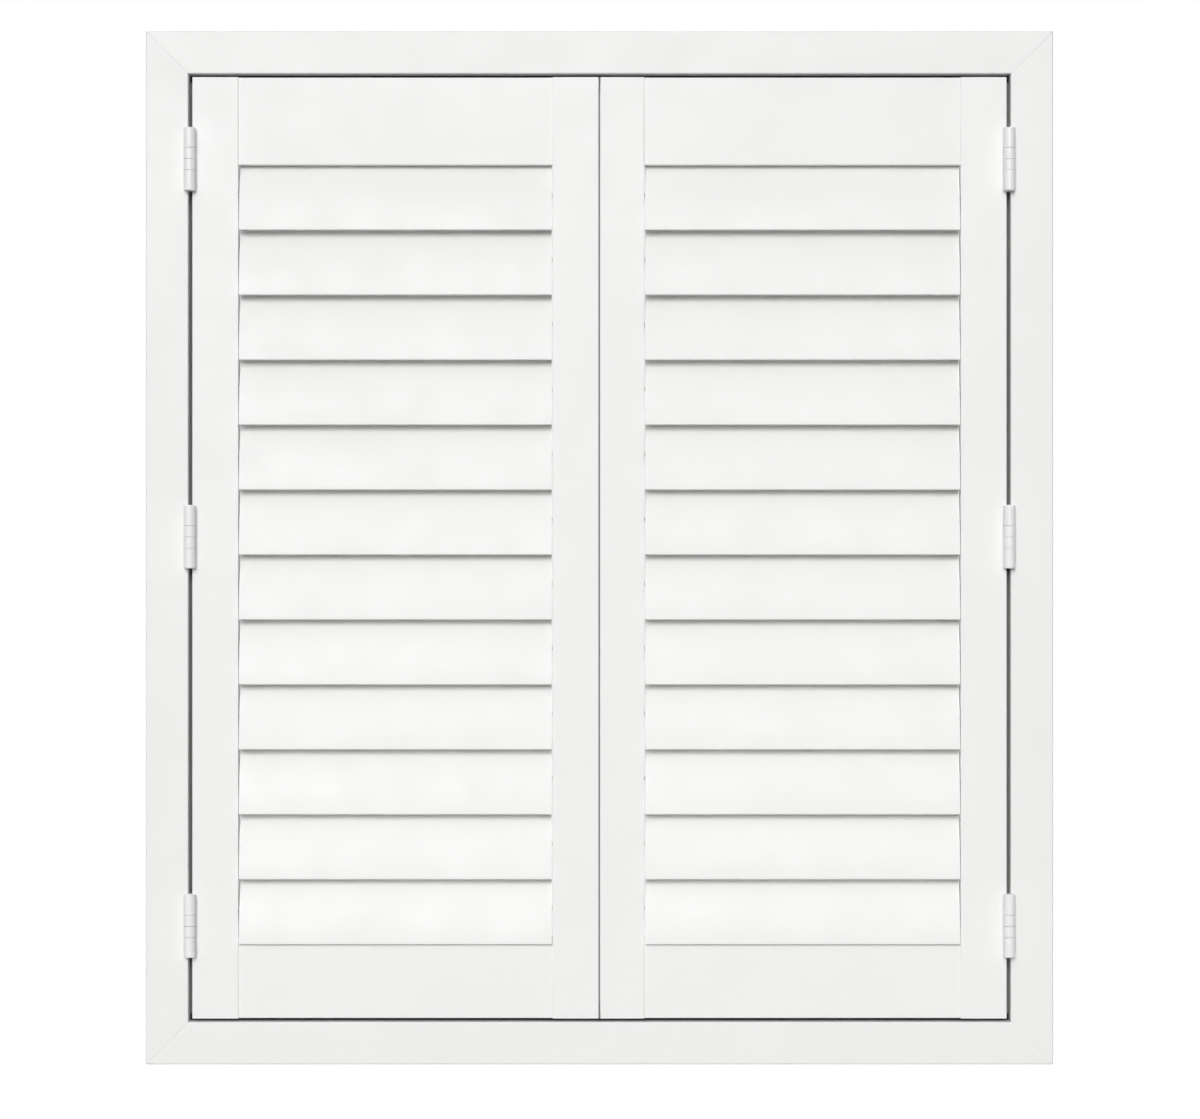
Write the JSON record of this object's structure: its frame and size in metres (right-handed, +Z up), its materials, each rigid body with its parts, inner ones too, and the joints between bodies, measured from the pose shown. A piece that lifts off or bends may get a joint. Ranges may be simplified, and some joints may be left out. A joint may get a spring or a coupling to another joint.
{
  "type": "louvred window shutters with frame",
  "caption": "Pair of white louvred window shutters hinged in a mitred frame, closed; the panels swing out and the louvres of each panel tilt together.",
  "frame": {"origin": "on the wall plane, at the middle of the reveal's sill, where the frame's leg stands", "axes": "+X to the right seen from the room, +Y from the room into the wall, +Z up"},
  "size_m": [1.08, 0.0506, 1.23],
  "materials": {
    "frame_coat": "satin white",
    "panel_coat": "satin white",
    "louvre_coat": "satin white",
    "hinge_coat": "white powder coat",
    "hinge_pin_steel": "white powder coat",
    "pin_nylon": "natural white nylon",
    "tilt_rod_coat": "white powder coat",
    "magnet_nickel": "nickel plate",
    "strike_nickel": "nickel plate",
    "seal_rubber": "matt black seal",
    "seal_pile": "grey woven pile"
  },
  "bodies": {
    "frame": {"frame_head": "frame_coat", "frame_left_jamb": "frame_coat", "frame_right_jamb": "frame_coat", "frame_sill": "frame_coat", "stop_seals": "seal_rubber", "catch_magnets": "magnet_nickel", "left_hinge_frame_leaves": "hinge_coat", "left_hinge_pins": "hinge_pin_steel", "right_hinge_frame_leaves": "hinge_coat", "right_hinge_pins": "hinge_pin_steel"},
    "left_panel": {"left_hinge_stile": "panel_coat", "left_meeting_stile": "panel_coat", "left_top_rail": "panel_coat", "left_bottom_rail": "panel_coat", "left_strike_plates": "strike_nickel", "left_louvre_pins": "pin_nylon", "left_hinge_panel_leaves": "hinge_coat", "meeting_seal": "seal_pile"},
    "left_louvre_01": {"left_louvre_01": "louvre_coat"},
    "left_louvre_02": {"left_louvre_02": "louvre_coat"},
    "left_louvre_03": {"left_louvre_03": "louvre_coat"},
    "left_louvre_04": {"left_louvre_04": "louvre_coat"},
    "left_louvre_05": {"left_louvre_05": "louvre_coat"},
    "left_louvre_06": {"left_louvre_06": "louvre_coat"},
    "left_louvre_07": {"left_louvre_07": "louvre_coat"},
    "left_louvre_08": {"left_louvre_08": "louvre_coat"},
    "left_louvre_09": {"left_louvre_09": "louvre_coat"},
    "left_louvre_10": {"left_louvre_10": "louvre_coat"},
    "left_louvre_11": {"left_louvre_11": "louvre_coat"},
    "left_louvre_12": {"left_louvre_12": "louvre_coat"},
    "left_tilt_rod": {"left_tilt_rod": "tilt_rod_coat"},
    "right_panel": {"right_hinge_stile": "panel_coat", "right_meeting_stile": "panel_coat", "right_top_rail": "panel_coat", "right_bottom_rail": "panel_coat", "right_strike_plates": "strike_nickel", "right_louvre_pins": "pin_nylon", "right_hinge_panel_leaves": "hinge_coat"},
    "right_louvre_01": {"right_louvre_01": "louvre_coat"},
    "right_louvre_02": {"right_louvre_02": "louvre_coat"},
    "right_louvre_03": {"right_louvre_03": "louvre_coat"},
    "right_louvre_04": {"right_louvre_04": "louvre_coat"},
    "right_louvre_05": {"right_louvre_05": "louvre_coat"},
    "right_louvre_06": {"right_louvre_06": "louvre_coat"},
    "right_louvre_07": {"right_louvre_07": "louvre_coat"},
    "right_louvre_08": {"right_louvre_08": "louvre_coat"},
    "right_louvre_09": {"right_louvre_09": "louvre_coat"},
    "right_louvre_10": {"right_louvre_10": "louvre_coat"},
    "right_louvre_11": {"right_louvre_11": "louvre_coat"},
    "right_louvre_12": {"right_louvre_12": "louvre_coat"},
    "right_tilt_rod": {"right_tilt_rod": "tilt_rod_coat"}
  },
  "joints": [
    {"name": "left_panel_swing", "type": "hinge", "parent": "frame", "child": "left_panel", "pos_m": [-0.4872, -0.0195, 0.6], "axis": [0, 0, -1], "range_deg": [0, 180]},
    {"name": "left_louvre_01_tilt", "type": "hinge", "parent": "left_panel", "child": "left_louvre_01", "pos_m": [-0.2429, -0.0045, 1.008], "axis": [-1, 0, 0], "range_deg": [0, 150]},
    {"name": "left_louvre_02_tilt", "type": "hinge", "parent": "left_panel", "child": "left_louvre_02", "pos_m": [-0.2429, -0.0045, 0.93075], "axis": [-1, 0, 0], "range_deg": [0, 150]},
    {"name": "left_louvre_03_tilt", "type": "hinge", "parent": "left_panel", "child": "left_louvre_03", "pos_m": [-0.2429, -0.0045, 0.8535], "axis": [-1, 0, 0], "range_deg": [0, 150]},
    {"name": "left_louvre_04_tilt", "type": "hinge", "parent": "left_panel", "child": "left_louvre_04", "pos_m": [-0.2429, -0.0045, 0.77625], "axis": [-1, 0, 0], "range_deg": [0, 150]},
    {"name": "left_louvre_05_tilt", "type": "hinge", "parent": "left_panel", "child": "left_louvre_05", "pos_m": [-0.2429, -0.0045, 0.699], "axis": [-1, 0, 0], "range_deg": [0, 150]},
    {"name": "left_louvre_06_tilt", "type": "hinge", "parent": "left_panel", "child": "left_louvre_06", "pos_m": [-0.2429, -0.0045, 0.62175], "axis": [-1, 0, 0], "range_deg": [0, 150]},
    {"name": "left_louvre_07_tilt", "type": "hinge", "parent": "left_panel", "child": "left_louvre_07", "pos_m": [-0.2429, -0.0045, 0.5445], "axis": [-1, 0, 0], "range_deg": [0, 150]},
    {"name": "left_louvre_08_tilt", "type": "hinge", "parent": "left_panel", "child": "left_louvre_08", "pos_m": [-0.2429, -0.0045, 0.46725], "axis": [-1, 0, 0], "range_deg": [0, 150]},
    {"name": "left_louvre_09_tilt", "type": "hinge", "parent": "left_panel", "child": "left_louvre_09", "pos_m": [-0.2429, -0.0045, 0.39], "axis": [-1, 0, 0], "range_deg": [0, 150]},
    {"name": "left_louvre_10_tilt", "type": "hinge", "parent": "left_panel", "child": "left_louvre_10", "pos_m": [-0.2429, -0.0045, 0.31275], "axis": [-1, 0, 0], "range_deg": [0, 150]},
    {"name": "left_louvre_11_tilt", "type": "hinge", "parent": "left_panel", "child": "left_louvre_11", "pos_m": [-0.2429, -0.0045, 0.2355], "axis": [-1, 0, 0], "range_deg": [0, 150]},
    {"name": "left_louvre_12_tilt", "type": "hinge", "parent": "left_panel", "child": "left_louvre_12", "pos_m": [-0.2429, -0.0045, 0.15825], "axis": [-1, 0, 0], "range_deg": [0, 150]},
    {"name": "left_tilt_rod_swing", "type": "hinge", "parent": "left_louvre_06", "child": "left_tilt_rod", "pos_m": [-0.4179, 0.01155, 0.68164], "axis": [-1, 0, 0], "range_deg": [-150, 0]},
    {"name": "right_panel_swing", "type": "hinge", "parent": "frame", "child": "right_panel", "pos_m": [0.4872, -0.0195, 0.6], "axis": [0, 0, 1], "range_deg": [0, 180]},
    {"name": "right_louvre_01_tilt", "type": "hinge", "parent": "right_panel", "child": "right_louvre_01", "pos_m": [0.2417, -0.0045, 1.008], "axis": [-1, 0, 0], "range_deg": [0, 150]},
    {"name": "right_louvre_02_tilt", "type": "hinge", "parent": "right_panel", "child": "right_louvre_02", "pos_m": [0.2417, -0.0045, 0.93075], "axis": [-1, 0, 0], "range_deg": [0, 150]},
    {"name": "right_louvre_03_tilt", "type": "hinge", "parent": "right_panel", "child": "right_louvre_03", "pos_m": [0.2417, -0.0045, 0.8535], "axis": [-1, 0, 0], "range_deg": [0, 150]},
    {"name": "right_louvre_04_tilt", "type": "hinge", "parent": "right_panel", "child": "right_louvre_04", "pos_m": [0.2417, -0.0045, 0.77625], "axis": [-1, 0, 0], "range_deg": [0, 150]},
    {"name": "right_louvre_05_tilt", "type": "hinge", "parent": "right_panel", "child": "right_louvre_05", "pos_m": [0.2417, -0.0045, 0.699], "axis": [-1, 0, 0], "range_deg": [0, 150]},
    {"name": "right_louvre_06_tilt", "type": "hinge", "parent": "right_panel", "child": "right_louvre_06", "pos_m": [0.2417, -0.0045, 0.62175], "axis": [-1, 0, 0], "range_deg": [0, 150]},
    {"name": "right_louvre_07_tilt", "type": "hinge", "parent": "right_panel", "child": "right_louvre_07", "pos_m": [0.2417, -0.0045, 0.5445], "axis": [-1, 0, 0], "range_deg": [0, 150]},
    {"name": "right_louvre_08_tilt", "type": "hinge", "parent": "right_panel", "child": "right_louvre_08", "pos_m": [0.2417, -0.0045, 0.46725], "axis": [-1, 0, 0], "range_deg": [0, 150]},
    {"name": "right_louvre_09_tilt", "type": "hinge", "parent": "right_panel", "child": "right_louvre_09", "pos_m": [0.2417, -0.0045, 0.39], "axis": [-1, 0, 0], "range_deg": [0, 150]},
    {"name": "right_louvre_10_tilt", "type": "hinge", "parent": "right_panel", "child": "right_louvre_10", "pos_m": [0.2417, -0.0045, 0.31275], "axis": [-1, 0, 0], "range_deg": [0, 150]},
    {"name": "right_louvre_11_tilt", "type": "hinge", "parent": "right_panel", "child": "right_louvre_11", "pos_m": [0.2417, -0.0045, 0.2355], "axis": [-1, 0, 0], "range_deg": [0, 150]},
    {"name": "right_louvre_12_tilt", "type": "hinge", "parent": "right_panel", "child": "right_louvre_12", "pos_m": [0.2417, -0.0045, 0.15825], "axis": [-1, 0, 0], "range_deg": [0, 150]},
    {"name": "right_tilt_rod_swing", "type": "hinge", "parent": "right_louvre_06", "child": "right_tilt_rod", "pos_m": [0.4179, 0.01155, 0.68164], "axis": [-1, 0, 0], "range_deg": [-150, 0]}
  ],
  "couplings": [
    {"joint": "left_louvre_01_tilt", "follows": "left_louvre_06_tilt", "ratio": 1},
    {"joint": "left_louvre_02_tilt", "follows": "left_louvre_06_tilt", "ratio": 1},
    {"joint": "left_louvre_03_tilt", "follows": "left_louvre_06_tilt", "ratio": 1},
    {"joint": "left_louvre_04_tilt", "follows": "left_louvre_06_tilt", "ratio": 1},
    {"joint": "left_louvre_05_tilt", "follows": "left_louvre_06_tilt", "ratio": 1},
    {"joint": "left_louvre_07_tilt", "follows": "left_louvre_06_tilt", "ratio": 1},
    {"joint": "left_louvre_08_tilt", "follows": "left_louvre_06_tilt", "ratio": 1},
    {"joint": "left_louvre_09_tilt", "follows": "left_louvre_06_tilt", "ratio": 1},
    {"joint": "left_louvre_10_tilt", "follows": "left_louvre_06_tilt", "ratio": 1},
    {"joint": "left_louvre_11_tilt", "follows": "left_louvre_06_tilt", "ratio": 1},
    {"joint": "left_louvre_12_tilt", "follows": "left_louvre_06_tilt", "ratio": 1},
    {"joint": "left_tilt_rod_swing", "follows": "left_louvre_06_tilt", "ratio": -1},
    {"joint": "right_louvre_01_tilt", "follows": "right_louvre_06_tilt", "ratio": 1},
    {"joint": "right_louvre_02_tilt", "follows": "right_louvre_06_tilt", "ratio": 1},
    {"joint": "right_louvre_03_tilt", "follows": "right_louvre_06_tilt", "ratio": 1},
    {"joint": "right_louvre_04_tilt", "follows": "right_louvre_06_tilt", "ratio": 1},
    {"joint": "right_louvre_05_tilt", "follows": "right_louvre_06_tilt", "ratio": 1},
    {"joint": "right_louvre_07_tilt", "follows": "right_louvre_06_tilt", "ratio": 1},
    {"joint": "right_louvre_08_tilt", "follows": "right_louvre_06_tilt", "ratio": 1},
    {"joint": "right_louvre_09_tilt", "follows": "right_louvre_06_tilt", "ratio": 1},
    {"joint": "right_louvre_10_tilt", "follows": "right_louvre_06_tilt", "ratio": 1},
    {"joint": "right_louvre_11_tilt", "follows": "right_louvre_06_tilt", "ratio": 1},
    {"joint": "right_louvre_12_tilt", "follows": "right_louvre_06_tilt", "ratio": 1},
    {"joint": "right_tilt_rod_swing", "follows": "right_louvre_06_tilt", "ratio": -1}
  ]
}
